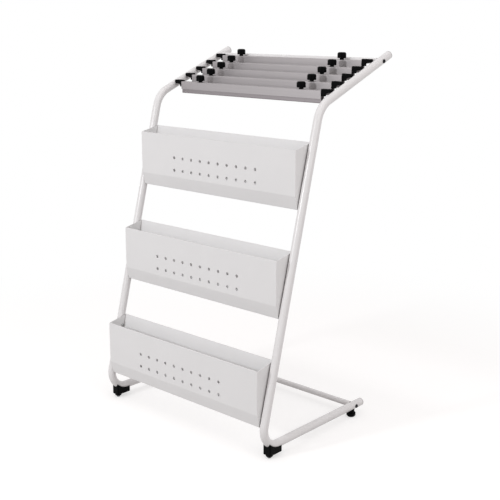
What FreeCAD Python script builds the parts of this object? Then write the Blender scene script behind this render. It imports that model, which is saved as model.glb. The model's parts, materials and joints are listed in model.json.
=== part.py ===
import FreeCAD, Part
import math
import os
import re

import Sketcher

# A free-standing rack for newspapers and magazines.
# Two bent steel tubes stand side by side. Three folded sheet pockets for magazines and two cross bars
# join them, and five newspaper clamps lie across the rising arms at the top.
# Millimetres. X runs from side to side, Y from the front to the back, Z up.
# The origin is on the floor, in the middle of the rack.

POCKETS = {"magazine_pocket_bottom": 0, "magazine_pocket_middle": 1, "magazine_pocket_top": 2}
CLAMPS = 5
HOLE_COLUMNS = 10
SIDES = {"left": -1, "right": 1}

SIZES = {
    # side frames
    "tube_d": (25.4, "outside diameter of the side tubes"),
    "tube_wall": (1.5, "wall of the side tubes"),
    "frame_width": (685, "between the centre lines of the two side tubes"),
    "base_z": (34, "height of the base runners' centre line"),
    "corner_y": (-301.9, "where the centre lines of base runner and upright cross"),
    "base_run": (492.5, "base runner, from that corner to its open end"),
    "lean": (14.63, "lean of the uprights from the vertical, degrees"),
    "top_z": (1014.1, "height at which the centre lines of upright and arm cross"),
    "arm_rise": (21.93, "rise of the arms above the level, degrees"),
    "arm_run": (365.2, "arm, from that crossing to its open end, along the slope"),
    "front_bend": (58, "centre line radius of the bend at the floor"),
    "top_bend": (80, "centre line radius of the bend under the arm"),
    "seat_gap": (0.2, "left between a tube and what is seated on it"),
    "hole_play": (0.1, "screw hole over its screw, on the diameter"),
    # end caps
    "cap_head": (4, "thickness of an end cap's head"),
    "cap_round": (2.2, "rounding of an end cap's head"),
    "cap_groove": (0.8, "chamfer of that head where it meets the tube"),
    "cap_sleeve": (14, "length of an end cap's sleeve inside the tube"),
    "cap_play": (0.1, "left between the sleeve and the tube's bore"),
    "cap_wall": (2, "wall of an end cap's sleeve"),
    # cross bars
    "bar_d": (18, "outside diameter of the cross bars"),
    "bar_wall": (1.2, "wall of the cross bars"),
    "base_bar_inset": (36.7, "base bar ahead of the base runners' open ends"),
    "top_bar_inset": (44.5, "top bar short of the arms' open ends, along the slope"),
    "plug_len": (18, "length of the threaded plug in each end of a cross bar"),
    "bar_screw_d": (6, "cross bar screw"),
    "bar_screw_bite": (12, "length of a cross bar screw inside its plug"),
    "bar_head_d": (12, "head of a cross bar screw"),
    "bar_head_h": (3.4, "height of that head"),
    # feet
    "foot_wall": (2, "wall of a foot beside its tube"),
    "foot_wrap": (8, "height to which a front foot wraps its tube, above the tube's underside"),
    "foot_lift": (12, "height of a front foot's underside"),
    "front_foot_len": (55, "length of a front foot"),
    "front_foot_lead": (46.6, "front foot's front ahead of the start of the bend"),
    "foot_round": (5, "rounding of a front foot's upright corners"),
    "boss_d": (21, "boss under a front foot, round the glide, at its lower end"),
    "boss_top_d": (25, "that boss where it meets the foot's underside"),
    "glide_d": (12, "diameter of the glide under that boss"),
    "glide_h": (6, "height of that glide below the boss"),
    "glide_chamfer": (1, "chamfer of that glide's lower edge"),
    "glide_stud_d": (6, "stud of that glide"),
    "glide_stud_len": (14, "length of that stud inside boss and foot"),
    "glide_set": (13, "glide's centre behind the front foot's front"),
    "rear_foot_inset": (48, "rear foot ahead of the base runner's open end"),
    "rear_pad_d": (29.4, "diameter of a rear foot's pad"),
    "rear_pad_h": (13.5, "height of that pad"),
    "rear_neck_d": (22, "diameter of the neck between that pad and the tube"),
    "rear_wrap": (3.4, "height to which that neck wraps its tube, above the tube's underside"),
    "pad_chamfer": (4, "chamfer of that pad's lower edge"),
    "pad_round": (1.5, "rounding of that pad's upper edge"),
    "foot_screw_d": (5, "screw that holds a foot"),
    "foot_screw_bite": (8, "length of that screw inside the tube"),
    "foot_head_d": (9, "head of that screw"),
    "foot_head_h": (3, "height of that head"),
    "foot_head_play": (1, "bore in the foot over that head, on the diameter"),
    "foot_recess": (16, "height above the floor at which that head seats"),
    "foot_screw_set": (13, "front foot's screw ahead of the foot's rear end"),
    # magazine pockets
    "pocket_low_z": (275, "height of the lowest pocket's front edge"),
    "pocket_pitch": (311, "from one pocket's front edge up to the next"),
    "pocket_reach": (61.5, "front panel ahead of the uprights' centre lines, at its top edge"),
    "front_drop": (134.65, "height of the upright front panel"),
    "toe_drop": (175.5, "front edge down to the pocket's bottom"),
    "toe_set": (11, "bottom's front edge behind the front panel"),
    "back_set": (7.5, "back panel behind the uprights' centre lines"),
    "back_rise": (15.4, "back panel's top edge above the front edge"),
    "sheet": (1.2, "thickness of the pockets' sheet steel"),
    "fold_in": (1.8, "inside radius of the folds across a pocket"),
    "end_round": (0.9, "rounding of the outer edges of a pocket's end plates"),
    "hem": (10, "depth of the hem folded down inside the front edge"),
    "hem_gap": (2, "hem's end short of the end plate"),
    "hole_d": (10, "holes in the front panel"),
    "hole_pitch": (38.8, "spacing of the holes in a row"),
    "hole_row_high": (72.1, "upper row of holes below the front edge"),
    "hole_row_low": (112.7, "lower row of holes below the front edge"),
    "pocket_screw_d": (5, "screw that holds a pocket"),
    "pocket_screw_len": (14, "length of that screw under its head"),
    "pocket_head_d": (9, "head of that screw"),
    "pocket_head_h": (2.8, "height of that head"),
    "pocket_screw_high": (20, "upper screw below the front edge"),
    "pocket_screw_low": (125, "lower screw below the front edge"),
    # newspaper clamps
    "clamp_first": (70, "first clamp behind the crossing of upright and arm, level"),
    "clamp_last": (68.78, "last clamp ahead of the arms' open ends, level"),
    "clamp_inset": (46, "channel's end inside the arm's centre line"),
    "channel_d": (18, "channel, from front to back"),
    "channel_h": (25.5, "height of the channel"),
    "channel_wall": (2, "side wall of the channel"),
    "channel_roof": (2.4, "roof of the channel"),
    "channel_round": (2, "rounding of the channel's upper edges"),
    "channel_drop": (1, "channel's top below the crown of the arms"),
    "jaw_d": (11.6, "jaw, from front to back"),
    "jaw_show": (13, "part of the closed jaw that shows below the channel"),
    "jaw_room": (5.1, "closed jaw's top below the channel's roof"),
    "jaw_wall": (1.5, "wall of the jaw"),
    "jaw_head": (8, "solid head of the jaw, which holds the threads"),
    "jaw_round": (2.5, "rounding of the jaw's lower edges"),
    "jaw_short": (1, "jaw shorter than the channel at each end"),
    "jaw_travel": (7.5, "travel of the jaw under its knobs"),
    "knob_inset": (81.5, "knob's centre inside the channel's end"),
    "knob_d": (28, "diameter of a knob"),
    "knob_h": (18.5, "height of a knob's head"),
    "knob_round": (6, "rounding of a knob's upper edge"),
    "stem_d": (13, "diameter of the stem under a knob"),
    "stem_h": (4.2, "height of that stem"),
    "knob_under": (2, "rounding of a knob's lower edge"),
    "stud_d": (8, "threaded stud of a knob"),
    "stud_spare": (1, "stud's end below the thread of the opened jaw"),
    "collar_d": (12, "collar that holds the stud in the channel's roof"),
    "collar_h": (2, "height of that collar"),
    "run_gap": (0.3, "left between pieces that move past each other"),
    "thread_gap": (0.08, "left between a stud and its thread or bearing hole, on the radius"),
    "hook_plate": (8, "end plate of a hook, along the clamp"),
    "hook_plug": (12, "length of a hook's plug inside the channel"),
    "hook_d": (15, "hook, from front to back"),
    "hook_rise": (3.8, "top of a hook above the crown of the arm"),
    "hook_under": (6.4, "underside of a hook's tongue below the crown of the arm"),
    "hook_gusset": (5, "height of the gusset between that underside and the end plate"),
    "hook_leg": (18.5, "end plate's foot below the crown of the arm"),
    "hook_round": (3, "rounding of a hook's upper edges"),
    "hook_clear": (0.9, "tongue's end clear of the arm's side"),
    "pin_d": (5, "peg on an arm's inner side, which carries a hook"),
    "pin_drop": (4.6, "peg's axis below the crown of the arm"),
    "pin_root": (5, "peg's inner end short of the arm's centre line"),
    "pin_short": (1, "peg's tip short of the hook's end plate"),
    "pin_chamfer": (1, "chamfer of a peg's tip"),
}

doc = FreeCAD.newDocument("PeriodicalRack")
dims = doc.addObject("Spreadsheet::Sheet", "dims")
for row, (alias, (size, note)) in enumerate(SIZES.items(), start=1):
    dims.set(f"A{row}", alias)
    dims.set(f"B{row}", str(size))
    dims.setAlias(f"B{row}", alias)
    dims.set(f"C{row}", note)
doc.recompute()


# Formulas are written with the sheet's own names, and bound to the features that they drive.

def formula(text):
    return re.sub(r"\b[a-z]\w*\b", lambda word: f"dims.{word[0]}" if word[0] in SIZES else word[0], text)


def value(text):
    return float(dims.evalExpression(formula(text)))


def bind(thing, **formulas):
    for prop, text in formulas.items():
        thing.setExpression(prop.replace("__", "."), formula(text))


# Places that several pieces share, as formulas.

TUBE_R = "(tube_d / 2)"
SIDE_X = "(frame_width / 2)"
BASE_END_Y = "(corner_y + base_run)"
BEND_Y = "(corner_y + front_bend * tan((90 + lean) / 2))"
BEND_Z = "(base_z + front_bend)"
UNDERSIDE_Z = f"(base_z - {TUBE_R})"
TOP_Y = "(corner_y + (top_z - base_z) * tan(lean))"
CROWN = f"({TUBE_R} / cos(arm_rise))"
POCKET_SIDE = f"({SIDE_X} - {TUBE_R} - seat_gap)"
CLAMP_PITCH = f"((arm_run * cos(arm_rise) - clamp_first - clamp_last) / {CLAMPS - 1})"
CLAMP_LEN = "(frame_width - 2 * clamp_inset)"
KNOB_X = f"({CLAMP_LEN} / 2 - knob_inset)"
HOOK_PLATE_X = f"({CLAMP_LEN} / 2 + hook_plate)"
PIN_TIP_X = f"({HOOK_PLATE_X} + pin_short)"
CHANNEL_TOP = "(-channel_drop)"
ROOF_Z = f"({CHANNEL_TOP} - channel_roof)"
CHANNEL_FOOT = f"({CHANNEL_TOP} - channel_h)"
JAW_TOP = f"({ROOF_Z} - jaw_room)"


def upright_y(z):
    return f"(corner_y + (({z}) - base_z) * tan(lean))"


def arm_z(y):
    return f"(top_z + (({y}) - {TOP_Y}) * tan(arm_rise))"


def clamp_y(number):
    return f"({TOP_Y} + clamp_first + {number} * {CLAMP_PITCH})"


def pin_z(number):
    return f"({arm_z(clamp_y(number))} + {CROWN} - pin_drop)"


def along_arm(inset):
    """Y and Z of a point on the arm's centre line, measured back from its open end."""
    run = f"(arm_run - ({inset}))"
    return f"({TOP_Y} + {run} * cos(arm_rise))", f"(top_z + {run} * sin(arm_rise))"


# Small helpers for sketches and features.

def new_body(label):
    body = doc.addObject("PartDesign::Body", label)
    body.Label = label
    return body


def new_sketch(body, role, **placing):
    sketch = body.newObject("Sketcher::SketchObject", body.Label + "_sketch")
    plane = next(item for item in body.Origin.OriginFeatures if item.Role == role)
    sketch.AttachmentSupport = [(plane, "")]
    sketch.MapMode = "FlatFace"
    bind(sketch, **placing)
    return sketch


def fix_point(sketch, geometry, end, across, up):
    """Hold a point of the sketch at two formulas, counted from the sketch's origin."""
    for kind, text in (("DistanceX", across), ("DistanceY", up)):
        number = sketch.addConstraint(Sketcher.Constraint(kind, -1, 1, geometry, end, value(text)))
        sketch.setExpression(f"Constraints[{number}]", formula(text))


def add_circle(sketch, across, up, radius):
    centre = FreeCAD.Vector(value(across), value(up), 0)
    circle = Part.Circle(centre, FreeCAD.Vector(0, 0, 1), value(radius))
    geometry = sketch.addGeometry(circle, False)
    fix_point(sketch, geometry, 3, across, up)
    number = sketch.addConstraint(Sketcher.Constraint("Radius", geometry, value(radius)))
    sketch.setExpression(f"Constraints[{number}]", formula(radius))


def add_outline(sketch, corners):
    """A closed outline of straight lines through corners, each a pair of formulas."""
    points = [FreeCAD.Vector(value(across), value(up), 0) for across, up in corners]
    count = len(points)
    lines = [Part.LineSegment(points[i], points[(i + 1) % count]) for i in range(count)]
    first = sketch.addGeometry(lines, False)[0]
    for i, (across, up) in enumerate(corners):
        before = first + (i - 1) % count
        sketch.addConstraint(Sketcher.Constraint("Coincident", before, 2, first + i, 1))
        fix_point(sketch, first + i, 1, across, up)


def box_corners(low_across, high_across, low_up, high_up):
    return [(low_across, low_up), (high_across, low_up), (high_across, high_up), (low_across, high_up)]


def feature(body, kind, sketch, length=None, both_ways=False, reverse=False):
    """Pad or pocket of a sketch; without a length a pocket goes right through."""
    item = body.newObject(f"PartDesign::{kind}", f"{body.Label}_{kind.lower()}")
    item.Profile = sketch
    item.Reversed = reverse
    if both_ways:
        item.SideType = "Symmetric"
    if length:
        bind(item, Length=length)
    else:
        item.Type = "ThroughAll"
    return item


def turned(body, sketch, kind, about):
    item = body.newObject(f"PartDesign::{kind}", f"{body.Label}_{kind.lower()}")
    item.Profile = sketch
    item.ReferenceAxis = (sketch, [about])
    item.Angle = 360
    return item


def dress(body, kind, prop, size, chosen):
    """Fillet or chamfer the edges of the body's last feature that the test chooses."""
    doc.recompute()
    base = body.Tip
    names = [f"Edge{i + 1}" for i, edge in enumerate(base.Shape.Edges) if chosen(edge)]
    item = body.newObject(f"PartDesign::{kind}", f"{body.Label}_{kind.lower()}")
    item.Base = (base, names)
    bind(item, **{prop: size})
    return item


def near(a, b):
    return abs(a - b) < 1e-4


def spans(edge, axis):
    """True for a straight edge that runs along the named axis."""
    box = edge.BoundBox
    size = {"x": box.XLength, "y": box.YLength, "z": box.ZLength}
    return size.pop(axis) > 1e-4 and all(other < 1e-4 for other in size.values())


def tilt_about_x(body, angle):
    body.Placement = FreeCAD.Placement(FreeCAD.Vector(), FreeCAD.Rotation(FreeCAD.Vector(1, 0, 0), 1))
    bind(body, Placement__Rotation__Angle=angle)


def place(thing, across, back, up):
    bind(thing, Placement__Base__x=across, Placement__Base__y=back, Placement__Base__z=up)


# Side frames: one tube each, with two bends, drilled for everything that is screwed to it.

def tube_path(body):
    """The centre line: base runner, bend, upright, bend and arm, each tangent to the next."""
    sketch = new_sketch(body, "YZ_Plane")
    lean, rise = math.radians(value("lean")), math.radians(value("arm_rise"))
    upright = FreeCAD.Vector(math.sin(lean), math.cos(lean), 0)
    arm = FreeCAD.Vector(math.cos(rise), math.sin(rise), 0)
    low = FreeCAD.Vector(value("corner_y"), value("base_z"), 0)
    high = FreeCAD.Vector(value(TOP_Y), value("top_z"), 0)
    low_r, high_r = value("front_bend"), value("top_bend")
    low_cut = low_r * math.tan(math.pi / 4 + lean / 2)
    high_cut = high_r * math.tan((math.pi / 2 - lean - rise) / 2)
    base_end = FreeCAD.Vector(value(BASE_END_Y), value("base_z"), 0)
    low_centre = low + FreeCAD.Vector(low_cut, low_r, 0)
    high_centre = high - upright * high_cut + FreeCAD.Vector(math.cos(lean), -math.sin(lean), 0) * high_r
    plane = FreeCAD.Vector(0, 0, 1)
    low_arc = Part.ArcOfCircle(Part.Circle(low_centre, plane, low_r), math.pi - lean, 1.5 * math.pi)
    high_arc = Part.ArcOfCircle(Part.Circle(high_centre, plane, high_r), math.pi / 2 + rise, math.pi - lean)
    base_line, low_bend, upright_line, high_bend, arm_line = sketch.addGeometry([
        Part.LineSegment(base_end, low + FreeCAD.Vector(low_cut, 0, 0)),
        low_arc,
        Part.LineSegment(low + upright * low_cut, high - upright * high_cut),
        high_arc,
        Part.LineSegment(high + arm * high_cut, high + arm * value("arm_run")),
    ], False)
    low_point, high_point = sketch.addGeometry([Part.Point(low), Part.Point(high)], True)
    joins = ((base_line, 2, low_bend, 2), (upright_line, 1, low_bend, 1),
             (upright_line, 2, high_bend, 2), (arm_line, 1, high_bend, 1))
    for join in joins:
        sketch.addConstraint(Sketcher.Constraint("Tangent", *join))
    sketch.addConstraint(Sketcher.Constraint("Horizontal", base_line))
    for point, line in ((low_point, base_line), (low_point, upright_line),
                        (high_point, upright_line), (high_point, arm_line)):
        sketch.addConstraint(Sketcher.Constraint("PointOnObject", point, 1, line))
    fix_point(sketch, base_line, 1, BASE_END_Y, "base_z")
    driven = (
        (("DistanceX", -1, 1, low_point, 1), "corner_y"),
        (("DistanceY", -1, 1, high_point, 1), "top_z"),
        (("Radius", low_bend), "front_bend"),
        (("Radius", high_bend), "top_bend"),
        (("Distance", high_point, 1, arm_line, 2), "arm_run"),
    )
    for constraint, text in driven:
        number = sketch.addConstraint(Sketcher.Constraint(*constraint, value(text)))
        sketch.setExpression(f"Constraints[{number}]", formula(text))
    for line, text in ((upright_line, "90 - lean"), (arm_line, "arm_rise")):
        number = sketch.addConstraint(Sketcher.Constraint("Angle", line, math.radians(value(text))))
        sketch.setExpression(f"Constraints[{number}]", f"({formula(text)}) * 1 deg")
    return sketch


def side_frame(label, side):
    body = new_body(label)
    path = tube_path(body)
    section = new_sketch(body, "XZ_Plane", AttachmentOffset__Base__z=f"-{BASE_END_Y}")
    add_circle(section, "0", "base_z", TUBE_R)
    add_circle(section, "0", "base_z", f"{TUBE_R} - tube_wall")
    tube = body.newObject("PartDesign::AdditivePipe", label + "_tube")
    tube.Profile = section
    tube.Spine = path
    bars = new_sketch(body, "YZ_Plane")
    top_bar = along_arm("top_bar_inset")
    for y, z in ((f"{BASE_END_Y} - base_bar_inset", "base_z"), top_bar):
        add_circle(bars, y, z, "(bar_screw_d + hole_play) / 2")
    feature(body, "Pocket", bars, both_ways=True)
    inner = new_sketch(body, "YZ_Plane")
    for z in pocket_screw_heights():
        add_circle(inner, upright_y(z), z, "(pocket_screw_d + hole_play) / 2")
    for number in range(CLAMPS):
        add_circle(inner, clamp_y(number), pin_z(number), "(pin_d + hole_play) / 2")
    feature(body, "Pocket", inner, reverse=side < 0)
    under = new_sketch(body, "XY_Plane")
    for y in (front_foot_screw_y(), REAR_FOOT_Y):
        add_circle(under, "0", y, "(foot_screw_d + hole_play) / 2")
    feature(body, "Pocket", under, length="base_z", reverse=True)
    place(body, f"{side} * {SIDE_X}", "0", "0")
    return body


def end_cap(label, side, where, slope):
    """A moulded plug: a rounded head against the tube's end and a hollow sleeve in its bore."""
    body = new_body(label)
    sleeve_r = f"({TUBE_R} - tube_wall - cap_play)"
    section = new_sketch(body, "YZ_Plane")
    add_outline(section, [
        ("cap_head", "0"), ("cap_head", TUBE_R), ("cap_groove", TUBE_R),
        ("0", f"{TUBE_R} - cap_groove"), ("0", sleeve_r),
        ("-cap_sleeve", sleeve_r), ("-cap_sleeve", f"{sleeve_r} - cap_wall"),
        ("0", f"{sleeve_r} - cap_wall"), ("0", "0"),
    ])
    turned(body, section, "Revolution", "H_Axis")
    head = value("cap_head")
    dress(body, "Fillet", "Radius", "cap_round",
          lambda edge: near(edge.BoundBox.YMin, head) and near(edge.BoundBox.XLength, value("tube_d")))
    tilt_about_x(body, slope)
    place(body, f"{side} * {SIDE_X}", *where)
    return body


# Cross bars: thin tubes, coped to the side tubes, with a threaded plug in each end.

BAR_PLACES = {
    "base_cross_bar": ((f"({BASE_END_Y} - base_bar_inset)", "base_z"), "0"),
    "top_cross_bar": (along_arm("top_bar_inset"), "arm_rise"),
}


def coped(body):
    """Cut the ends of a piece across the rack to the round of the side tubes."""
    tubes = new_sketch(body, "XZ_Plane")
    for side in SIDES.values():
        add_circle(tubes, f"{side} * {SIDE_X}", "0", f"{TUBE_R} + seat_gap")
    feature(body, "Pocket", tubes, both_ways=True)


def cross_bar(label):
    body = new_body(label)
    section = new_sketch(body, "YZ_Plane")
    add_circle(section, "0", "0", "bar_d / 2")
    add_circle(section, "0", "0", "bar_d / 2 - bar_wall")
    feature(body, "Pad", section, length="frame_width - tube_d", both_ways=True)
    coped(body)
    where, slope = BAR_PLACES[label]
    tilt_about_x(body, slope)
    place(body, "0", *where)
    return body


def plug_master():
    """One plug, drawn at the right end of a bar that lies on the X axis."""
    body = new_body("plug_master")
    section = new_sketch(body, "YZ_Plane", AttachmentOffset__Base__z=f"{SIDE_X} - {TUBE_R} - plug_len")
    add_circle(section, "0", "0", "bar_d / 2 - bar_wall")
    add_circle(section, "0", "0", "(bar_screw_d + hole_play) / 2")
    feature(body, "Pad", section, length="plug_len")
    coped(body)
    return body


def screw_master(label, diameter, length, head_d, head_h):
    """A pan-headed screw that points down the Z axis, with the head's underside at its origin.

    The head's rim stands upright for half its height, and its flat top is two thirds across.
    """
    body = new_body(label)
    section = new_sketch(body, "XZ_Plane")
    add_outline(section, [
        ("0", f"-({length})"), (f"{diameter} / 2", f"-({length})"), (f"{diameter} / 2", "0"),
        (f"{head_d} / 2", "0"), (f"{head_d} / 2", f"{head_h} / 2"), (f"{head_d} / 3", head_h), ("0", head_h),
    ])
    turned(body, section, "Revolution", "V_Axis")
    return body


def pin_master():
    """A peg with a chamfered tip; its origin is at the tip, and it points up the Z axis."""
    body = new_body("pin_master")
    section = new_sketch(body, "XZ_Plane")
    length = f"({SIDE_X} - pin_root - {PIN_TIP_X})"
    add_outline(section, [
        ("0", f"-{length}"), ("pin_d / 2", f"-{length}"),
        ("pin_d / 2", "-pin_chamfer"), ("pin_d / 2 - pin_chamfer", "0"), ("0", "0"),
    ])
    turned(body, section, "Revolution", "V_Axis")
    return body


def glide_master():
    """A glide with a chamfered foot and a stud that is pressed into the front foot above it."""
    body = new_body("glide_master")
    section = new_sketch(body, "XZ_Plane")
    add_outline(section, [
        ("0", "0"), ("glide_d / 2 - glide_chamfer", "0"), ("glide_d / 2", "glide_chamfer"),
        ("glide_d / 2", "glide_h"), ("glide_stud_d / 2", "glide_h"),
        ("glide_stud_d / 2", "glide_h + glide_stud_len"), ("0", "glide_h + glide_stud_len"),
    ])
    turned(body, section, "Revolution", "V_Axis")
    return body


def group(label, master, places):
    """Copies of one small part, which share a node as separate solids."""
    copies = []
    for across, back, up, axis, angle in places:
        copy = doc.addObject("App::Link", label + "_copy")
        copy.LinkedObject = master
        turn = FreeCAD.Rotation(FreeCAD.Vector(*axis), angle if isinstance(angle, (int, float)) else 1)
        copy.Placement = FreeCAD.Placement(FreeCAD.Vector(), turn)
        if isinstance(angle, str):
            bind(copy, Placement__Rotation__Angle=angle)
        place(copy, across, back, up)
        copies.append(copy)
    whole = doc.addObject("Part::Compound", label)
    whole.Label = label
    whole.Links = copies
    return whole


# Feet: moulded saddles under the tubes, each screwed up into its tube.

REAR_FOOT_Y = f"({BASE_END_Y} - rear_foot_inset)"
FOOT_WIDTH = "(tube_d + 2 * foot_wall)"
FRONT_FOOT_Y = f"({BEND_Y} - front_foot_lead)"
GLIDE_Y = f"({FRONT_FOOT_Y} + glide_set)"


def front_foot_screw_y():
    return f"({FRONT_FOOT_Y} + front_foot_len - foot_screw_set)"


def foot_bore(body, y):
    """Hole for the foot's screw, wide below its seat."""
    steps = (("foot_screw_d + hole_play", None), ("foot_head_d + foot_head_play", "foot_recess"))
    for diameter, length in steps:
        bore = new_sketch(body, "XY_Plane")
        add_circle(bore, "0", y, f"({diameter}) / 2")
        feature(body, "Pocket", bore, length=length, reverse=True)


def front_foot(label, side):
    body = new_body(label)
    block = new_sketch(body, "YZ_Plane")
    rear = f"({FRONT_FOOT_Y} + front_foot_len)"
    add_outline(block, box_corners(FRONT_FOOT_Y, rear, "foot_lift", BEND_Z))
    feature(body, "Pad", block, length=FOOT_WIDTH, both_ways=True)
    dress(body, "Fillet", "Radius", "foot_round", lambda edge: spans(edge, "z"))
    scoop = new_sketch(body, "YZ_Plane")
    add_circle(scoop, BEND_Y, BEND_Z, f"front_bend + {TUBE_R} - foot_wrap")
    feature(body, "Pocket", scoop, both_ways=True)
    # the seat of the bend, then of the straight runner behind it
    bend = new_sketch(body, "XZ_Plane",
                      AttachmentOffset__Base__y=BEND_Z, AttachmentOffset__Base__z=f"-{BEND_Y}")
    add_circle(bend, "0", "-front_bend", f"{TUBE_R} + seat_gap")
    turned(body, bend, "Groove", "H_Axis")
    runner = new_sketch(body, "XZ_Plane", AttachmentOffset__Base__z=f"-{BEND_Y}")
    add_circle(runner, "0", "base_z", f"{TUBE_R} + seat_gap")
    feature(body, "Pocket", runner)
    boss = new_sketch(body, "XZ_Plane", AttachmentOffset__Base__z=f"-{GLIDE_Y}")
    add_outline(boss, [
        ("0", "glide_h"), ("boss_d / 2", "glide_h"), ("boss_top_d / 2", "foot_lift"), ("0", "foot_lift"),
    ])
    turned(body, boss, "Revolution", "V_Axis")
    glide = new_sketch(body, "XY_Plane")
    add_circle(glide, "0", GLIDE_Y, "(glide_stud_d + hole_play) / 2")
    feature(body, "Pocket", glide, length="glide_h + glide_stud_len", reverse=True)
    foot_bore(body, front_foot_screw_y())
    place(body, f"{side} * {SIDE_X}", "0", "0")
    return body


def rear_foot(label, side):
    """A round pad under a neck that is hollowed to the tube."""
    body = new_body(label)
    pad = new_sketch(body, "XY_Plane")
    add_circle(pad, "0", REAR_FOOT_Y, "rear_pad_d / 2")
    feature(body, "Pad", pad, length="rear_pad_h")
    dress(body, "Chamfer", "Size", "pad_chamfer", lambda edge: near(edge.BoundBox.ZMax, 0))
    neck = new_sketch(body, "XY_Plane")
    add_circle(neck, "0", REAR_FOOT_Y, "rear_neck_d / 2")
    feature(body, "Pad", neck, length=f"{UNDERSIDE_Z} + rear_wrap")
    rim, width = value("rear_pad_h"), value("rear_pad_d")
    dress(body, "Fillet", "Radius", "pad_round",
          lambda edge: near(edge.BoundBox.ZMin, rim) and near(edge.BoundBox.XLength, width))
    tube = new_sketch(body, "XZ_Plane")
    add_circle(tube, "0", "base_z", f"{TUBE_R} + seat_gap")
    feature(body, "Pocket", tube, both_ways=True)
    foot_bore(body, REAR_FOOT_Y)
    place(body, f"{side} * {SIDE_X}", "0", "0")
    return body


# Magazine pockets: a trough folded from one sheet, with a hemmed front edge and two rows of holes,
# and an end plate welded over each of its ends.

def pocket_top_z(number):
    return f"(pocket_low_z + {number} * pocket_pitch)"


def pocket_screw_heights():
    drops = ("pocket_screw_high", "pocket_screw_low")
    return [f"({pocket_top_z(number)} - {drop})" for number in POCKETS.values() for drop in drops]


def pocket_profile(body, length, inset="0", both_ways=False):
    """Pad of a pocket's side profile, rounded at the folds that run across the sheet.

    It is drawn about the point of the uprights' centre lines that is level with the front edge.
    """
    back = "(back_set / cos(lean))"
    outline = new_sketch(body, "YZ_Plane", AttachmentOffset__Base__z=inset)
    add_outline(outline, [
        ("-pocket_reach", "0"),
        ("-pocket_reach", "-front_drop"),
        ("-pocket_reach + toe_set", "-toe_drop"),
        (f"{back} - toe_drop * tan(lean)", "-toe_drop"),
        (f"{back} + back_rise * tan(lean)", "back_rise"),
    ])
    feature(body, "Pad", outline, length=length, both_ways=both_ways)
    toe, fold = value("-toe_drop"), value("-front_drop")
    dress(body, "Fillet", "Radius", "fold_in + sheet",
          lambda edge: spans(edge, "x") and (near(edge.BoundBox.ZMin, toe) or near(edge.BoundBox.ZMax, fold)))
    doc.recompute()


def pocket_end(label, side, number):
    """A flat plate with the pocket's side profile, screwed to the upright beside it."""
    body = new_body(label)
    pocket_profile(body, "sheet", inset=f"{side} * ({POCKET_SIDE} - sheet / 2) - sheet / 2")
    outer = value(POCKET_SIDE)
    dress(body, "Fillet", "Radius", "end_round",
          lambda edge: near(edge.BoundBox.XMin, side * outer) and near(edge.BoundBox.XMax, side * outer))
    screws = new_sketch(body, "YZ_Plane")
    for drop in ("pocket_screw_high", "pocket_screw_low"):
        add_circle(screws, f"-{drop} * tan(lean)", f"-{drop}", "(pocket_screw_d + hole_play) / 2")
    feature(body, "Pocket", screws, both_ways=True)
    top = pocket_top_z(number)
    place(body, "0", upright_y(top), top)
    return body


def magazine_pocket(label, number):
    """The trough: front, slope, bottom and back are one folded sheet."""
    body = new_body(label)
    half = f"({POCKET_SIDE} - sheet)"
    pocket_profile(body, f"2 * {half}", both_ways=True)
    solid = body.Tip
    faces = solid.Shape.Faces
    lid = max(range(len(faces)), key=lambda i: faces[i].CenterOfMass.z)
    ends = [i for i, face in enumerate(faces) if face.BoundBox.XLength < 1e-4]
    shell = body.newObject("PartDesign::Thickness", label + "_shell")
    shell.Base = (solid, [f"Face{i + 1}" for i in (lid, *ends)])
    shell.Mode = "Skin"
    shell.Join = "Arc"
    shell.Reversed = True
    bind(shell, Value="sheet")
    # the hem lies against the front panel and rises with the ends' sloping edge
    hem = new_sketch(body, "YZ_Plane")
    rise = "(back_rise / (pocket_reach + back_set / cos(lean) + back_rise * tan(lean)))"
    add_outline(hem, [
        ("-pocket_reach + sheet", "-hem"), ("-pocket_reach + 2 * sheet", "-hem"),
        ("-pocket_reach + 2 * sheet", f"2 * sheet * {rise}"), ("-pocket_reach + sheet", f"sheet * {rise}"),
    ])
    feature(body, "Pad", hem, length=f"2 * ({half} - hem_gap)", both_ways=True)
    # the holes go through the front panel only, from a sheet ahead of it to a sheet behind it
    holes = new_sketch(body, "XZ_Plane", AttachmentOffset__Base__z="pocket_reach + sheet")
    for drop in ("hole_row_high", "hole_row_low"):
        add_circle(holes, f"-hole_pitch * {(HOLE_COLUMNS - 1) / 2}", f"-{drop}", "hole_d / 2")
    first_column = feature(body, "Pocket", holes, length="3 * sheet")
    columns = body.newObject("PartDesign::LinearPattern", label + "_columns")
    columns.Originals = [first_column]
    columns.Direction = (holes, ["H_Axis"])
    columns.Occurrences = HOLE_COLUMNS
    bind(columns, Length=f"hole_pitch * {HOLE_COLUMNS - 1}")
    body.Tip = columns
    top = pocket_top_z(number)
    place(body, "0", upright_y(top), top)
    return body


# Newspaper clamps. Each is drawn about the crown of the arms, at the middle of its own width.

def place_clamp_piece(body, number, across="0"):
    y = clamp_y(number)
    place(body, across, y, f"{arm_z(y)} + {CROWN}")


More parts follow.
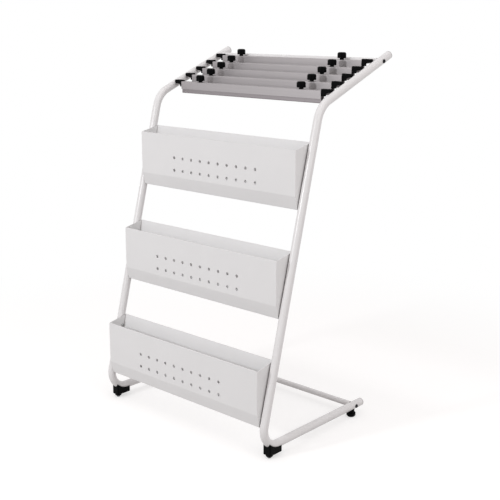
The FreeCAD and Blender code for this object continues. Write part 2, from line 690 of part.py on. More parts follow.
def clamp_channel(label, number):
    """An aluminium extrusion, open below, with a bearing hole in its roof for each knob."""
    body = new_body(label)
    inner = "(channel_d / 2 - channel_wall)"
    section = new_sketch(body, "YZ_Plane")
    add_outline(section, [
        ("-channel_d / 2", CHANNEL_FOOT), ("-channel_d / 2", CHANNEL_TOP),
        ("channel_d / 2", CHANNEL_TOP), ("channel_d / 2", CHANNEL_FOOT),
        (inner, CHANNEL_FOOT), (inner, ROOF_Z), (f"-{inner}", ROOF_Z), (f"-{inner}", CHANNEL_FOOT),
    ])
    feature(body, "Pad", section, length=CLAMP_LEN, both_ways=True)
    top = value(CHANNEL_TOP)
    dress(body, "Fillet", "Radius", "channel_round",
          lambda edge: spans(edge, "x") and near(edge.BoundBox.ZMax, top))
    bearings = new_sketch(body, "XY_Plane")
    for side in SIDES.values():
        add_circle(bearings, f"{side} * {KNOB_X}", "0", "stud_d / 2 + thread_gap")
    feature(body, "Pocket", bearings, both_ways=True)
    place_clamp_piece(body, number)
    return body


def clamp_jaw(label, number):
    """A hollow aluminium bar that rides in the channel; its solid head carries the threads."""
    body = new_body(label)
    foot = f"({CHANNEL_FOOT} - jaw_show)"
    length = f"{CLAMP_LEN} - 2 * jaw_short"
    section = new_sketch(body, "YZ_Plane")
    add_outline(section, box_corners("-jaw_d / 2", "jaw_d / 2", foot, JAW_TOP))
    hollow = "(jaw_d / 2 - jaw_wall)"
    add_outline(section, box_corners(f"-{hollow}", hollow, f"{foot} + jaw_wall", f"{JAW_TOP} - jaw_head"))
    feature(body, "Pad", section, length=length, both_ways=True)
    low, half = value(foot), value("jaw_d / 2")
    dress(body, "Fillet", "Radius", "jaw_round",
          lambda edge: spans(edge, "x") and near(edge.BoundBox.ZMin, low)
          and near(abs(edge.BoundBox.YMin), half))
    threads = new_sketch(body, "XY_Plane", AttachmentOffset__Base__z=JAW_TOP)
    for side in SIDES.values():
        add_circle(threads, f"{side} * {KNOB_X}", "0", "stud_d / 2 + thread_gap")
    feature(body, "Pocket", threads, length="jaw_head")
    place_clamp_piece(body, number)
    return body


def clamp_hook(label, side, number):
    """A moulded end: a plate over the channel's end, a plug in it, and a tongue that drops over a peg."""
    body = new_body(label)

    def out(distance):
        return f"{side} * ({distance})"

    end, plate = f"{CLAMP_LEN} / 2", HOOK_PLATE_X
    tip = f"({SIDE_X} - {TUBE_R} - hook_clear)"
    profile = new_sketch(body, "XZ_Plane")
    add_outline(profile, [
        (out(end), "hook_rise"), (out(tip), "hook_rise"), (out(tip), "-hook_under"),
        (out(plate), "-hook_under - hook_gusset"), (out(plate), "-hook_leg"), (out(end), "-hook_leg"),
    ])
    feature(body, "Pad", profile, length="hook_d", both_ways=True)
    plug = new_sketch(body, "XZ_Plane")
    add_outline(plug, box_corners(out(f"{end} - hook_plug"), out(end), f"{JAW_TOP} + run_gap", ROOF_Z))
    feature(body, "Pad", plug, length="channel_d - 2 * channel_wall", both_ways=True)
    top, far = value("hook_rise"), value(tip)
    dress(body, "Fillet", "Radius", "hook_round",
          lambda edge: near(edge.BoundBox.ZMin, top)
          and (spans(edge, "x") or near(abs(edge.BoundBox.Center.x), far)))
    # the slot for the peg, round above and open below
    half = "(pin_d / 2 + run_gap)"
    for roof in (True, False):
        slot = new_sketch(body, "YZ_Plane", AttachmentOffset__Base__z=out(plate))
        if roof:
            add_circle(slot, "0", "-pin_drop", half)
        else:
            add_outline(slot, box_corners(f"-{half}", half, "-hook_leg", "-pin_drop"))
        feature(body, "Pocket", slot, reverse=side > 0)
    place_clamp_piece(body, number)
    return body


def clamp_knob(label, side, number):
    """A moulded knob on its threaded stud, held in the channel's roof between stem and collar."""
    body = new_body(label)
    stem_z = f"({CHANNEL_TOP} + run_gap)"
    head_z = f"({stem_z} + stem_h)"
    collar_z = f"({ROOF_Z} - run_gap)"
    stud_z = f"({JAW_TOP} - jaw_head - jaw_travel - stud_spare)"
    section = new_sketch(body, "XZ_Plane")
    add_outline(section, [
        ("0", stud_z), ("stud_d / 2", stud_z),
        ("stud_d / 2", f"{collar_z} - collar_h"), ("collar_d / 2", f"{collar_z} - collar_h"),
        ("collar_d / 2", collar_z), ("stud_d / 2", collar_z),
        ("stud_d / 2", stem_z), ("stem_d / 2", stem_z), ("stem_d / 2", head_z), ("knob_d / 2", head_z),
        ("knob_d / 2", f"{head_z} + knob_h"), ("0", f"{head_z} + knob_h"),
    ])
    turned(body, section, "Revolution", "V_Axis")
    rim = value(f"{head_z} + knob_h")
    dress(body, "Fillet", "Radius", "knob_round",
          lambda edge: near(edge.BoundBox.ZMin, rim) and near(edge.BoundBox.XLength, value("knob_d")))
    low = value(head_z)
    dress(body, "Fillet", "Radius", "knob_under",
          lambda edge: near(edge.BoundBox.ZMax, low) and near(edge.BoundBox.XLength, value("knob_d")))
    place_clamp_piece(body, number, f"{side} * {KNOB_X}")
    return body


# The whole rack.

nodes = []
base_end = (BASE_END_Y, "base_z")
arm_end = along_arm("0")
for name, side in SIDES.items():
    nodes.append(side_frame(f"side_frame_{name}", side))
    nodes.append(end_cap(f"base_end_cap_{name}", side, base_end, "0"))
    nodes.append(end_cap(f"arm_end_cap_{name}", side, arm_end, "arm_rise"))
    nodes.append(front_foot(f"front_foot_{name}", side))
    nodes.append(rear_foot(f"rear_foot_{name}", side))

for name in BAR_PLACES:
    nodes.append(cross_bar(name))
plug = plug_master()
plug_places = []
bar_screw_places = []
for (y, z), slope in BAR_PLACES.values():
    plug_places.append(("0", y, z, (1, 0, 0), slope))
    plug_places.append(("0", y, z, (0, 0, 1), 180))
    for side in SIDES.values():
        bar_screw_places.append((f"{side} * ({SIDE_X} + {TUBE_R})", y, z, (0, 1, 0), 90 * side))
nodes.append(group("cross_bar_plugs", plug, plug_places))
bar_screw = screw_master("bar_screw_master", "bar_screw_d", "tube_d + seat_gap + bar_screw_bite",
                         "bar_head_d", "bar_head_h")
nodes.append(group("cross_bar_screws", bar_screw, bar_screw_places))

foot_screw = screw_master("foot_screw_master", "foot_screw_d",
                          f"{UNDERSIDE_Z} - foot_recess + foot_screw_bite", "foot_head_d", "foot_head_h")
foot_screw_places = [
    (f"{side} * {SIDE_X}", y, "foot_recess", (1, 0, 0), 180)
    for side in SIDES.values() for y in (front_foot_screw_y(), REAR_FOOT_Y)
]
nodes.append(group("foot_screws", foot_screw, foot_screw_places))
glide = glide_master()
glide_places = [(f"{side} * {SIDE_X}", GLIDE_Y, "0", (0, 0, 1), 0) for side in SIDES.values()]
nodes.append(group("front_foot_glides", glide, glide_places))

for name, number in POCKETS.items():
    nodes.append(magazine_pocket(name, number))
    for side_name, side in SIDES.items():
        nodes.append(pocket_end(name.replace("magazine_pocket", f"pocket_end_{side_name}"), side, number))
pocket_screw = screw_master("pocket_screw_master", "pocket_screw_d", "pocket_screw_len",
                            "pocket_head_d", "pocket_head_h")
pocket_screw_places = [
    (f"{side} * ({POCKET_SIDE} - sheet)", upright_y(z), z, (0, 1, 0), -90 * side)
    for side in SIDES.values() for z in pocket_screw_heights()
]
nodes.append(group("pocket_screws", pocket_screw, pocket_screw_places))

pin = pin_master()
pin_places = [
    (f"{side} * {PIN_TIP_X}", clamp_y(number), pin_z(number), (0, 1, 0), -90 * side)
    for number in range(CLAMPS) for side in SIDES.values()
]
nodes.append(group("arm_pins", pin, pin_places))

for number in range(CLAMPS):
    nodes.append(clamp_channel(f"clamp_channel_{number + 1}", number))
    nodes.append(clamp_jaw(f"clamp_jaw_{number + 1}", number))
    for name, side in SIDES.items():
        nodes.append(clamp_hook(f"clamp_hook_{name}_{number + 1}", side, number))
        nodes.append(clamp_knob(f"clamp_knob_{name}_{number + 1}", side, number))

doc.recompute()
for item in doc.Objects:
    if "Invalid" in item.State or "Error" in item.State:
        raise RuntimeError(f"{item.Label} failed: {item.State}")
for node in nodes:
    if node.Shape.isNull() or not node.Shape.isValid():
        raise RuntimeError(f"{node.Label} has no valid shape")

os.makedirs("parts", exist_ok=True)
for node in nodes:
    node.Shape.exportStep(f"parts/{node.Label}.step")
    print(f"{node.Label}: {len(node.Shape.Solids)} solid(s), {node.Shape.Volume:.0f} mm3")
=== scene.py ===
# %% [markdown]
# # A periodical display rack, dressed over its construction model
#
# The rack is already built to size in another program: bent tubes, folded pockets, newspaper clamps.
# Here it gets its looks. The finished model comes in as a fixed frame, in metres, with Z up, and nothing
# in it is moved. We give every piece its finish, take the knife edge off the moulded and extruded ones,
# model the screws that show, and set a camera and plain studio light around it.

# %% Load the frame
import json
import math

import bmesh
import bpy
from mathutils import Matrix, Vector


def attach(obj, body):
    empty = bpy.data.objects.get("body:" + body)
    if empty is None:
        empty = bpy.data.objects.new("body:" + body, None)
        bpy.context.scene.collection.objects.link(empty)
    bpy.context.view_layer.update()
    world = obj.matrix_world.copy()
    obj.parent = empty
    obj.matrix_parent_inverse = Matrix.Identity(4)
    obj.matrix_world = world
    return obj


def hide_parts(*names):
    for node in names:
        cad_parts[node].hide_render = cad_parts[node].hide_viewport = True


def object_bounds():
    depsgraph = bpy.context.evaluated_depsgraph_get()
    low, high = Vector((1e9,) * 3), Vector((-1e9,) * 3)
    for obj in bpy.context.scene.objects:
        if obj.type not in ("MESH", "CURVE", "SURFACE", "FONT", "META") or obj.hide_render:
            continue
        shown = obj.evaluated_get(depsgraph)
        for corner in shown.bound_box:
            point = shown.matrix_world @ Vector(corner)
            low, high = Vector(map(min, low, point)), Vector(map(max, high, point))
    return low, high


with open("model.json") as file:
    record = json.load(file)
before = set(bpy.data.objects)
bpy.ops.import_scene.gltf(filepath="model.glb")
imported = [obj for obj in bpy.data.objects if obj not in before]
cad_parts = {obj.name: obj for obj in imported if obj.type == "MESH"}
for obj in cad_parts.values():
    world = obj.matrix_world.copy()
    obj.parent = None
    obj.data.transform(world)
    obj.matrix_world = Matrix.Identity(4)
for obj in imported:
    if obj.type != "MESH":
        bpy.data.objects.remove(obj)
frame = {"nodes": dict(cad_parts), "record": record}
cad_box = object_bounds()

MM = 0.001
nodes = frame["nodes"]
bpy.context.scene.view_settings.view_transform = "Standard"
print("pieces in the frame:", len(nodes), "box:", [tuple(round(c, 4) for c in corner) for corner in cad_box])

# %% [markdown]
# ## The camera
#
# The picture is 500 pixels square. A lens is easiest to state as a distance in pixels: how far the eye is
# from a picture drawn at full size. Blender wants it in millimetres on a 36 mm sensor, so we convert. The
# lens doesn't look at the middle of the picture but at a row a little above it, and a small shift of the
# lens says so. Rows are counted from the top.

# %% Camera
IMAGE = 500
SENSOR_MM = 36
LENS_PIXELS = 945.3
AXIS_ROW = 225
CAMERA_PLACE = Vector((2.0288, -2.1989, 1.2708))
CAMERA_AIM = Vector((-0.65692, 0.72224, -0.21642))

camera_data = bpy.data.cameras.new("camera")
camera_data.sensor_width = SENSOR_MM
camera_data.lens = SENSOR_MM * LENS_PIXELS / IMAGE
camera_data.shift_y = (AXIS_ROW - IMAGE / 2) / IMAGE
camera = bpy.data.objects.new("camera", camera_data)
camera.location = CAMERA_PLACE
camera.rotation_mode = "QUATERNION"
camera.rotation_quaternion = CAMERA_AIM.to_track_quat("-Z", "Y")
bpy.context.scene.collection.objects.link(camera)
bpy.context.scene.camera = camera
print("lens:", round(camera_data.lens, 2), "mm, shift:", camera_data.shift_y)

# %% [markdown]
# ## Colours and nodes
#
# Colours are written as the hex values that a paint chart gives. Shaders work with linear light, so one
# function turns a hex value into it. A second small function adds a shader node: it takes the kind of node,
# its settings, and what is plugged into each socket, which may be a number or another node's output.

# %% Helpers for materials


def paint(text):
    """A hex colour as the linear RGBA that shaders work with."""
    channels = [int(text[i:i + 2], 16) / 255 for i in (1, 3, 5)]
    linear = [c / 12.92 if c <= 0.04045 else ((c + 0.055) / 1.055) ** 2.4 for c in channels]
    return (*linear, 1)


def add(tree, kind, inputs=None, **settings):
    """Add a node; inputs maps a socket's name or number to a value or to another node's output."""
    node = tree.nodes.new("ShaderNode" + kind)
    for name, setting in settings.items():
        setattr(node, name, setting)
    for name, given in (inputs or {}).items():
        if isinstance(given, bpy.types.NodeSocket):
            tree.links.new(given, node.inputs[name])
        else:
            node.inputs[name].default_value = given
    return node


def new_material(name):
    """A material with an empty tree, and the object's own coordinates to draw its patterns by."""
    material = bpy.data.materials.new(name)
    material.use_nodes = True
    material.node_tree.nodes.clear()
    tree = material.node_tree
    place = add(tree, "TexCoord").outputs["Object"]
    return material, tree, place


def per_mm(size):
    """Scale of a noise or cell texture whose features are this many millimetres across."""
    return 1 / (size * MM)


print("a grey of #808080 is", round(paint("#808080")[0], 3), "in linear light")

# %% [markdown]
# ## Painted shade in the seams
#
# Pale pieces show a thin dark line where they meet another one, as at the seam of an end cap: the narrow
# gap lies in shade, and that shade is painted into the colour here. Such lines could be drawn one by one,
# but the Ambient Occlusion node finds them all. It measures how much open air a point has within a few
# millimetres. Where that share is under SHUT the painted shade is darkest, and over OPEN there is none.
# Only the two pale coats and the pale end caps get it. The seams of the black pieces are dark without it.

# %% Painted seam shade
# The colour of the painted shade in seams and gaps.
SEAM_SHADE = "#6E6864"
SHUT, OPEN = 0.15, 0.9
DARKEST_SHADE = 0.9
SHADE_RAYS = 8


def painted_seam_shade(tree, clean, reach_mm):
    """The clean colour with painted shade, darker where other faces stand close around a point."""
    open_air = add(tree, "AmbientOcclusion", {"Distance": reach_mm * MM}, samples=SHADE_RAYS)
    shut_in = add(tree, "MapRange", {"Value": open_air.outputs["AO"], "From Min": SHUT, "From Max": OPEN,
                                     "To Min": DARKEST_SHADE, "To Max": 0.0})
    return add(tree, "Mix", {"Factor": shut_in.outputs["Result"], "A": clean, "B": paint(SEAM_SHADE)},
               data_type="RGBA").outputs["Result"]


# Shows the colour of the painted seam shade and the most of the colour under it that it covers.
print("painted_shade:", SEAM_SHADE, "covers up to", DARKEST_SHADE, "of the colour under it")

# %% [markdown]
# ## Powder-coated steel
#
# The tubes and pockets are steel, sprayed with dry powder and baked. The powder melts into a thick plastic
# skin that hides the metal, so the shader is a plain dielectric, not a metal. It flows a little unevenly
# before it sets, and that leaves a fine waviness called orange peel: highlights on it look slightly
# rippled. Real orange peel is 1 to 3 mm across; it is drawn a little coarser here so that it shows. A fine
# grain lies over it, hardly felt on the glossy white coat of the tubes and deeper on the satin off-white
# one of the pockets, whose sheen it breaks up. It is drawn coarser than the real one too. The coat isn't
# equally thick everywhere, so its shade and its gloss drift a little over a hand's breadth.

# %% Powder coat


def powder_coat(name, colour, shade, roughness, peel_mm, peel_depth, grain_mm, grain_depth):
    """A baked coat; the widths and depths of its peel and its grain are in millimetres."""
    material, tree, place = new_material(name)
    cloud_mm = 120
    smoother, rougher = 0.04, 0.06
    clouds = add(tree, "TexNoise", {"Vector": place, "Scale": per_mm(cloud_mm), "Detail": 2.0})
    tone = add(tree, "Mix", {"Factor": clouds.outputs["Fac"], "A": paint(colour), "B": paint(shade)},
               data_type="RGBA")
    # Painted shade in the seams, over the coat's own tone.
    tone_with_seam_shade = painted_seam_shade(tree, tone.outputs["Result"], reach_mm=3)
    peel = add(tree, "TexNoise", {"Vector": place, "Scale": per_mm(peel_mm), "Detail": 1.0})
    grain = add(tree, "TexNoise", {"Vector": place, "Scale": per_mm(grain_mm), "Detail": 2.0})
    wave = add(tree, "Bump", {"Height": peel.outputs["Fac"], "Distance": peel_depth * MM, "Strength": 1.0})
    rough = add(tree, "Bump", {"Height": grain.outputs["Fac"], "Distance": grain_depth * MM,
                               "Strength": 1.0, "Normal": wave.outputs["Normal"]})
    gloss = add(tree, "MapRange", {"Value": clouds.outputs["Fac"], "To Min": roughness - smoother,
                                   "To Max": roughness + rougher})
    coat = add(tree, "BsdfPrincipled", {
        "Base Color": tone_with_seam_shade, "Roughness": gloss.outputs["Result"], "IOR": 1.5,
        "Normal": rough.outputs["Normal"],
    })
    add(tree, "OutputMaterial", {"Surface": coat.outputs[0]})
    return material


gloss_white = powder_coat("gloss_white_powder_coat", "#E4E2E2", "#DFDDDD", 0.26, 5, 0.02, 1.2, 0.002)
satin_white = powder_coat("satin_off_white_powder_coat", "#E5E4E4", "#E0DFDF", 0.42, 4, 0.02, 1.5, 0.01)
print("powder coats:", gloss_white.name, satin_white.name)

# %% [markdown]
# ## Anodised aluminium
#
# The clamps' channels and jaws are extrusions: aluminium pushed through a die, which draws fine lines along
# the bar. Anodising then grows a hard, slightly milky oxide on it, so it is a metal with a soft sheen
# rather than a mirror. Real die lines are about 0.3 mm apart; they are drawn at 1.6 mm here so that they
# show. Stretching a noise texture along X makes them: its X coordinate is squeezed to almost nothing. The
# same trick at 9 mm makes the broad streaks of shade that a worn die leaves.

# %% Anodised aluminium


def anodised(name, colour, shade, roughness):
    """A drawn and anodised bar that lies along X."""
    material, tree, place = new_material(name)
    line_mm, line_depth = 1.6, 0.02
    streak_mm = 9
    squeeze = 0.01
    swing = 0.08
    stretched = add(tree, "Mapping", {"Vector": place, "Scale": (squeeze, 1, 1)})
    lines = add(tree, "TexNoise", {"Vector": stretched.outputs[0], "Scale": per_mm(line_mm), "Detail": 3.0})
    streaks = add(tree, "TexNoise", {"Vector": stretched.outputs[0], "Scale": per_mm(streak_mm),
                                     "Detail": 2.0})
    tone = add(tree, "Mix", {"Factor": streaks.outputs["Fac"], "A": paint(colour), "B": paint(shade)},
               data_type="RGBA")
    gloss = add(tree, "MapRange", {"Value": lines.outputs["Fac"], "To Min": roughness - swing,
                                   "To Max": roughness + swing})
    relief = add(tree, "Bump", {"Height": lines.outputs["Fac"], "Distance": line_depth * MM,
                                "Strength": 1.0})
    metal = add(tree, "BsdfPrincipled", {
        "Base Color": tone.outputs["Result"], "Metallic": 1.0, "Roughness": gloss.outputs["Result"],
        "Normal": relief.outputs["Normal"],
    })
    add(tree, "OutputMaterial", {"Surface": metal.outputs[0]})
    return material


channel_metal = anodised("anodised_aluminium_channel", "#ADA8A9", "#9F9A9B", 0.52)
# The jaw is the channel's anodised aluminium drawn darker: painted shade for its lower edge, which sits back
# under the channel.
jaw_metal_in_painted_shade = anodised("anodised_aluminium_jaw_painted_shade", "#979193", "#8D8789", 0.54)
print("anodised:", channel_metal.name, jaw_metal_in_painted_shade.name)

# %% [markdown]
# ## Moulded plastic
#
# Feet, hooks, knobs and end caps are injection-moulded. The mould's steel was etched with a spark, which
# leaves a fine leathery grain on the plastic. The real grain is a fraction of a millimetre across; it is
# drawn at 1 mm or a little more so that it shows. A grainy black plastic swallows much of the light that a
# polished one would throw back, so its specular level is set well under the usual half. The feet and hooks
# are tough nylon, a little duller than the ABS of the knobs and the light grey end caps. The glides under
# the front feet are grey nylon. Handling leaves smoother and duller patches about a fingertip wide.

# %% Moulded plastic


def moulded(name, colour, roughness, specular, grain_mm, grain_depth, shade_in_seams=False):
    """A grained plastic; the width and the depth of its grain are in millimetres."""
    material, tree, place = new_material(name)
    wear_mm = 14
    smoother, rougher = 0.07, 0.09
    grain = add(tree, "TexVoronoi", {"Vector": place, "Scale": per_mm(grain_mm)}, feature="SMOOTH_F1")
    wear = add(tree, "TexNoise", {"Vector": place, "Scale": per_mm(wear_mm), "Detail": 3.0})
    gloss = add(tree, "MapRange", {"Value": wear.outputs["Fac"], "To Min": roughness - smoother,
                                   "To Max": roughness + rougher})
    relief = add(tree, "Bump", {"Height": grain.outputs["Distance"], "Distance": grain_depth * MM,
                                "Strength": 0.6})
    plastic = add(tree, "BsdfPrincipled", {
        "Base Color": painted_seam_shade(tree, paint(colour), reach_mm=2) if shade_in_seams else paint(colour),
        "Roughness": gloss.outputs["Result"], "IOR": 1.53,
        "Specular IOR Level": specular, "Normal": relief.outputs["Normal"],
    })
    add(tree, "OutputMaterial", {"Surface": plastic.outputs[0]})
    return material


black_abs = moulded("black_abs", "#040405", 0.36, 0.035, 1.0, 0.03)
black_nylon = moulded("black_nylon", "#050506", 0.48, 0.04, 1.4, 0.05)
grey_nylon = moulded("grey_nylon", "#6E6E70", 0.45, 0.4, 1.4, 0.03)
# The end caps get painted shade in their seams.
grey_abs = moulded("light_grey_abs", "#C0BEBE", 0.34, 0.5, 1.0, 0.02, shade_in_seams=True)
print("plastics:", black_abs.name, black_nylon.name, grey_nylon.name, grey_abs.name)

# %% [markdown]
# ## Plated and blackened steel
#
# Zinc plating is bright but a little cloudy, with faint spangles. The cross bars' screws are blackened:
# a thin dark oxide over steel that still reflects like a metal, only dimly. The spangles are drawn 2 and
# 3 mm wide, coarser than the real ones, so that they show.

# %% Plated and blackened steel


def plated(name, colour, shade, roughness, spangle_mm):
    material, tree, place = new_material(name)
    smoother, rougher = 0.05, 0.1
    spangle = add(tree, "TexVoronoi", {"Vector": place, "Scale": per_mm(spangle_mm)})
    tone = add(tree, "Mix", {"Factor": spangle.outputs["Distance"], "A": paint(colour), "B": paint(shade)},
               data_type="RGBA")
    gloss = add(tree, "MapRange", {"Value": spangle.outputs["Distance"], "To Min": roughness - smoother,
                                   "To Max": roughness + rougher})
    metal = add(tree, "BsdfPrincipled", {
        "Base Color": tone.outputs["Result"], "Metallic": 1.0, "Roughness": gloss.outputs["Result"],
    })
    add(tree, "OutputMaterial", {"Surface": metal.outputs[0]})
    return material


zinc = plated("zinc_plated_steel", "#C9CAC8", "#AEB0B0", 0.3, 3)
black_oxide = plated("black_oxide_steel", "#2A2A2C", "#1D1D1F", 0.4, 2)
print("screws:", zinc.name, black_oxide.name)

# %% [markdown]
# ## Every piece gets its finish
#
# The record names a material slot for each piece, so one table from slot to material dresses them all.
# The front feet's glides are a foot's piece but not a foot's colour, so they have a line of their own.

# %% Dress the pieces
FINISHES = {
    "frame_enamel": gloss_white,
    "pocket_enamel": satin_white,
    "cap_plastic": grey_abs,
    "foot_plastic": black_nylon,
    "zinc_steel": zinc,
    "black_screw": black_oxide,
    "anodised_channel": channel_metal,
    "anodised_jaw": jaw_metal_in_painted_shade,
    "hook_plastic": black_nylon,
    "knob_plastic": black_abs,
}
GLIDES = "front_foot_glides"
OWN_FINISH = {GLIDES: grey_nylon}
slot_of = {part["node"]: part["material_slot"] for part in frame["record"]["subparts"]}
for name, node in nodes.items():
    finish = OWN_FINISH.get(name, FINISHES[slot_of[name]])
    for material_slot in node.material_slots:
        material_slot.material = finish
print("dressed:", len(slot_of), "pieces with", len(set(FINISHES.values())) + len(OWN_FINISH), "finishes")

# %% [markdown]
# ## Edges that catch the light
#
# No moulded or extruded piece has a knife edge: the tool leaves a small radius, and a thin line of light
# runs along it. A Bevel modifier adds that radius without touching the mesh below it. The model's faces
# arrive cut apart along their sharp edges, so a Weld modifier has to join them first, and a Weighted Normal
# modifier keeps the large faces flat. The front feet's small glides stay as they are.

# %% Soften the edges
EDGE_MM = {"clamp_hook": 0.6, "clamp_channel": 0.3, "clamp_jaw": 0.3, "front_foot": 0.7}
EDGE_STEPS = 2
WELD_MM = 0.005
SHARP = math.radians(40)


def soften(node, width_mm):
    weld = node.modifiers.new("weld", "WELD")
    weld.merge_threshold = WELD_MM * MM
    bevel = node.modifiers.new("edge_radius", "BEVEL")
    bevel.width = width_mm * MM
    bevel.segments = EDGE_STEPS
    bevel.limit_method = "ANGLE"
    bevel.angle_limit = SHARP
    flat = node.modifiers.new("flat_faces", "WEIGHTED_NORMAL")
    flat.keep_sharp = True


softened = 0
for kind, width_mm in EDGE_MM.items():
    for name, node in nodes.items():
        if name.startswith(kind) and name != GLIDES:
            soften(node, width_mm)
            softened += 1
print("softened:", softened, "pieces")

# %% [markdown]
# ## The screws
#
# The construction model has each screw as a plain turned shape. What makes a screw read as one is the
# recess for the tool: a hexagon in the black screws of the cross bars, a cross in the zinc-plated ones
# inside the pockets. So both groups are made again with recesses, where the model has them. A group is one
# mesh, and its separate screws are found by walking along the edges from vertex to vertex until no new one
# turns up.

# %% Find the screws


def solids_of(node):
    """The box of each separate solid in a group, worked out on a welded copy of its mesh."""
    copy = bmesh.new()
    copy.from_mesh(node.data)
    bmesh.ops.remove_doubles(copy, verts=copy.verts, dist=WELD_MM * MM)
    waiting = set(copy.verts)
    boxes = []
    while waiting:
        reached = [waiting.pop()]
        for vert in reached:
            for edge in vert.link_edges:
                other = edge.other_vert(vert)
                if other in waiting:
                    waiting.remove(other)
                    reached.append(other)
        low, high = (Vector([pick(v.co[i] for v in reached) for i in range(3)]) for pick in (min, max))
        boxes.append((low, high))
    copy.free()
    return sorted(boxes, key=lambda box: tuple(round(c, 5) for c in box[0]))


for group in ("cross_bar_screws", "pocket_screws"):
    print(group + ":", len(solids_of(nodes[group])), "in the model")

# %% [markdown]
# ### Outlines of heads and recesses
#
# A screw is made as on a lathe, ring by ring, but the rings of its recess are not round: their radius
# changes with the angle. For a hexagon it is the distance to its nearest flat, for a cross the distance to
# the side or the end of its nearest arm. So each outline is a function that turns an angle into a radius.

# %% Outlines


def circle(radius_mm):
    return lambda angle: radius_mm


def hexagon(flat_mm):
    """A hexagon of this width over its flats."""
    sixth = math.pi / 3
    return lambda angle: flat_mm / 2 / math.cos(angle % sixth - sixth / 2)


def cross(span_mm, arm_mm):
    """A cross of this width from tip to tip, with arms of this width."""
    quarter = math.pi / 2

    def reach(angle):
        turn = angle % quarter
        turn = min(turn, quarter - turn)
        end = span_mm / 2 / math.cos(turn)
        return min(end, arm_mm / 2 / math.sin(turn)) if turn > 0 else end

    return reach


SOCKET = hexagon(flat_mm=4)
CROSS = cross(span_mm=4.4, arm_mm=1.2)
print("the hexagon is", round(2 * SOCKET(0), 2), "mm over its corners, the cross", 2 * CROSS(0), "mm wide")

# %% [markdown]
# ### Turned screws
#
# The rings run from the shank's tip up to the head, over its dome and down into the recess. Bands of quads
# join each ring to the next, and a single face closes either end. Sharp edges stay sharp and the rest is
# shaded smooth. Each screw's place, its length and the width of its head are measured on the model. The
# other sizes are given in millimetres.

# %% Turn the screws
STEPS = 48
DOME_STEPS = 6
RIM_SHARE = 0.3
CREASE = math.radians(30)


def turn_screw(mesh, seat, out, rings):
    """Skin the rings of one screw; each is an outline and a height over the head's underside, in mm."""
    loops = []
    for reach, height in rings:
        loop = []
        for step in range(STEPS):
            angle = 2 * math.pi * step / STEPS
            across, up = math.cos(angle) * reach(angle), math.sin(angle) * reach(angle)
            loop.append(mesh.verts.new(seat + Vector((out * height, across, up)) * MM))
        loops.append(loop)
    for lower, upper in zip(loops, loops[1:]):
        for step in range(STEPS):
            after = (step + 1) % STEPS
            mesh.faces.new((lower[step], lower[after], upper[after], upper[step]))
    mesh.faces.new(loops[0])
    mesh.faces.new(loops[-1])


def screws(name, node_name, heads_out, head_h, shank_d, top_d, recess, depth, finish):
    """Screws that lie along X in place of a group; heads_out says if the heads look away from the middle."""
    mesh = bmesh.new()
    boxes = solids_of(nodes[node_name])
    for low, high in boxes:
        middle = (low + high) / 2
        out = math.copysign(1, middle.x) * (1 if heads_out else -1)
        length = (high.x - low.x) / MM - head_h
        head_r = (high.y - low.y) / 2 / MM
        rim = head_h * RIM_SHARE
        seat = Vector((middle.x + out * (high.x - low.x) / 2 - out * head_h * MM, middle.y, middle.z))
        rings = [(circle(shank_d / 2), -length), (circle(shank_d / 2), 0), (circle(head_r), 0)]
        for step in range(DOME_STEPS + 1):
            bend = math.pi / 2 * step / DOME_STEPS
            radius = head_r - (head_r - top_d / 2) * (1 - math.cos(bend))
            rings.append((circle(radius), rim + (head_h - rim) * math.sin(bend)))
        rings += [(recess, head_h), (recess, head_h - depth)]
        turn_screw(mesh, seat, out, rings)
    bmesh.ops.recalc_face_normals(mesh, faces=mesh.faces)
    for edge in mesh.edges:
        edge.smooth = edge.calc_face_angle(0) < CREASE
    for face in mesh.faces:
        face.smooth = True
    data = bpy.data.meshes.new(name)
    mesh.to_mesh(data)
    mesh.free()
    data.materials.append(finish)
    piece = bpy.data.objects.new(name, data)
    bpy.context.scene.collection.objects.link(piece)
    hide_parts(node_name)
    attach(piece, "rack_frame")
    print(name + ":", len(boxes), "screws")


screws("socket_button_screws", "cross_bar_screws", heads_out=True, head_h=3.4, shank_d=6, top_d=6.4,
       recess=SOCKET, depth=2.2, finish=black_oxide)
screws("cross_recess_screws", "pocket_screws", heads_out=False, head_h=2.8, shank_d=5, top_d=5.4,
       recess=CROSS, depth=1.7, finish=zinc)

# %% [markdown]
# ## The floor
#
# The floor is one large white sheet. A lamp alone would leave it grey, and turning the lamps up would bleach
# the white rack. Instead the camera, mirrors and glass see some extra white in it, through the Light Path
# node, and the rack's own shadow still darkens it. Further out, where no shadow reaches, the sheet fades
# into plain white, like that of the background, so that no horizon shows.

# %% Floor
WHITE = paint("#FFFFFF")


def white_to_the_eye(tree):
    """1 for rays from the camera or off a glossy or clear surface, 0 for the rays that carry light."""
    path = add(tree, "LightPath")
    either = add(tree, "Math", {0: path.outputs["Is Camera Ray"], 1: path.outputs["Is Glossy Ray"]},
                 operation="MAXIMUM")
    return add(tree, "Math", {0: either.outputs[0], 1: path.outputs["Is Transmission Ray"]},
               operation="MAXIMUM").outputs[0]


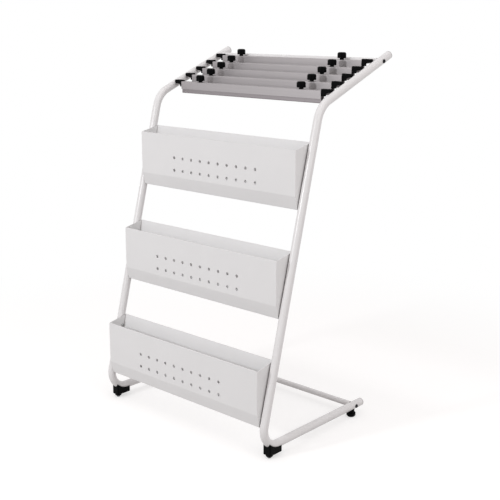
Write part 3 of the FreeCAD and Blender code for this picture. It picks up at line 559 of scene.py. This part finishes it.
FLOOR_HALF = 12.0
FADE_FROM, FADE_TO = 0.7, 1.9
FLOOR_COLOUR = "#BFBDBC"
FLOOR_LIFT = 0.56
floor_mesh = bpy.data.meshes.new("floor")
floor_corners = [(x * FLOOR_HALF, y * FLOOR_HALF, 0) for x, y in ((-1, -1), (1, -1), (1, 1), (-1, 1))]
floor_mesh.from_pydata(floor_corners, [], [(0, 1, 2, 3)])
floor = bpy.data.objects.new("floor", floor_mesh)
bpy.context.scene.collection.objects.link(floor)
floor_material, tree, place = new_material("white_studio_floor")
matt = add(tree, "BsdfDiffuse", {"Color": paint(FLOOR_COLOUR)})
lift = add(tree, "Emission", {"Color": WHITE, "Strength": FLOOR_LIFT})
white = add(tree, "Emission", {"Color": WHITE, "Strength": 1.0})
lifted = add(tree, "AddShader", {0: matt.outputs[0], 1: lift.outputs[0]})
away = add(tree, "VectorMath", {0: place}, operation="LENGTH")
fade = add(tree, "MapRange", {"Value": away.outputs["Value"], "From Min": FADE_FROM, "From Max": FADE_TO},
           interpolation_type="SMOOTHSTEP")
seen = add(tree, "MixShader", {0: fade.outputs["Result"], 1: lifted.outputs[0], 2: white.outputs[0]})
sheet = add(tree, "MixShader", {0: white_to_the_eye(tree), 1: matt.outputs[0], 2: seen.outputs[0]})
add(tree, "OutputMaterial", {"Surface": sheet.outputs[0]})
floor_mesh.materials.append(floor_material)
print("floor:", 2 * FLOOR_HALF, "m square, plain white from", FADE_TO, "m out")

# %% [markdown]
# ## The background
#
# The camera sees plain white behind the rack. The light that the background sends on to the rack is weaker
# and a trace warm, like light that comes back from the walls of a room. The Light Path node tells the two
# apart again.

# %% World
GLOW_COLOUR = "#FFFBFB"
GLOW_STRENGTH = 0.66

world = bpy.data.worlds.new("studio")
bpy.context.scene.world = world
world.use_nodes = True
world.node_tree.nodes.clear()
tree = world.node_tree
backdrop = add(tree, "Background", {"Color": WHITE, "Strength": 1.0})
glow = add(tree, "Background", {"Color": paint(GLOW_COLOUR), "Strength": GLOW_STRENGTH})
both = add(tree, "MixShader", {0: white_to_the_eye(tree), 1: glow.outputs[0], 2: backdrop.outputs[0]})
add(tree, "OutputWorld", {"Surface": both.outputs[0]})
print("world:", world.name, "with a glow of", GLOW_STRENGTH)

# %% [markdown]
# ## Lamps
#
# One small lamp stands low in front of the rack, a little to its left. It is small and low enough to throw
# each knob's shadow on to the bar behind it. A large, weaker one above fills the tops, and another to the
# right lifts the pockets' ends, which the first lamp doesn't reach.

# %% Lamps


def soft_box(name, bearing, height, distance, size, watts, colour):
    """A square lamp that looks at the middle of the rack.

    Bearing is degrees round from -Y towards +X and height degrees up; distance and size are in metres.
    """
    turn, rise = math.radians(bearing), math.radians(height)
    away = Vector((math.sin(turn) * math.cos(rise), -math.cos(turn) * math.cos(rise), math.sin(rise)))
    lamp = bpy.data.lights.new(name, "AREA")
    lamp.energy = watts
    lamp.size = size
    lamp.color = paint(colour)[:3]
    box = bpy.data.objects.new(name, lamp)
    middle = (cad_box[0] + cad_box[1]) / 2
    box.location = middle + away * distance
    box.rotation_mode = "QUATERNION"
    box.rotation_quaternion = (-away).to_track_quat("-Z", "Y")
    bpy.context.scene.collection.objects.link(box)
    return box


key = soft_box("key_lamp", bearing=-12, height=18, distance=3.5, size=0.3, watts=36, colour="#FAFDFF")
top = soft_box("top_lamp", bearing=20, height=75, distance=4, size=3, watts=24, colour="#FFFFFF")
fill = soft_box("fill_lamp", bearing=82, height=24, distance=3.5, size=1.8, watts=22, colour="#FFFFFE")
print("lamps:", key.name, top.name, fill.name)
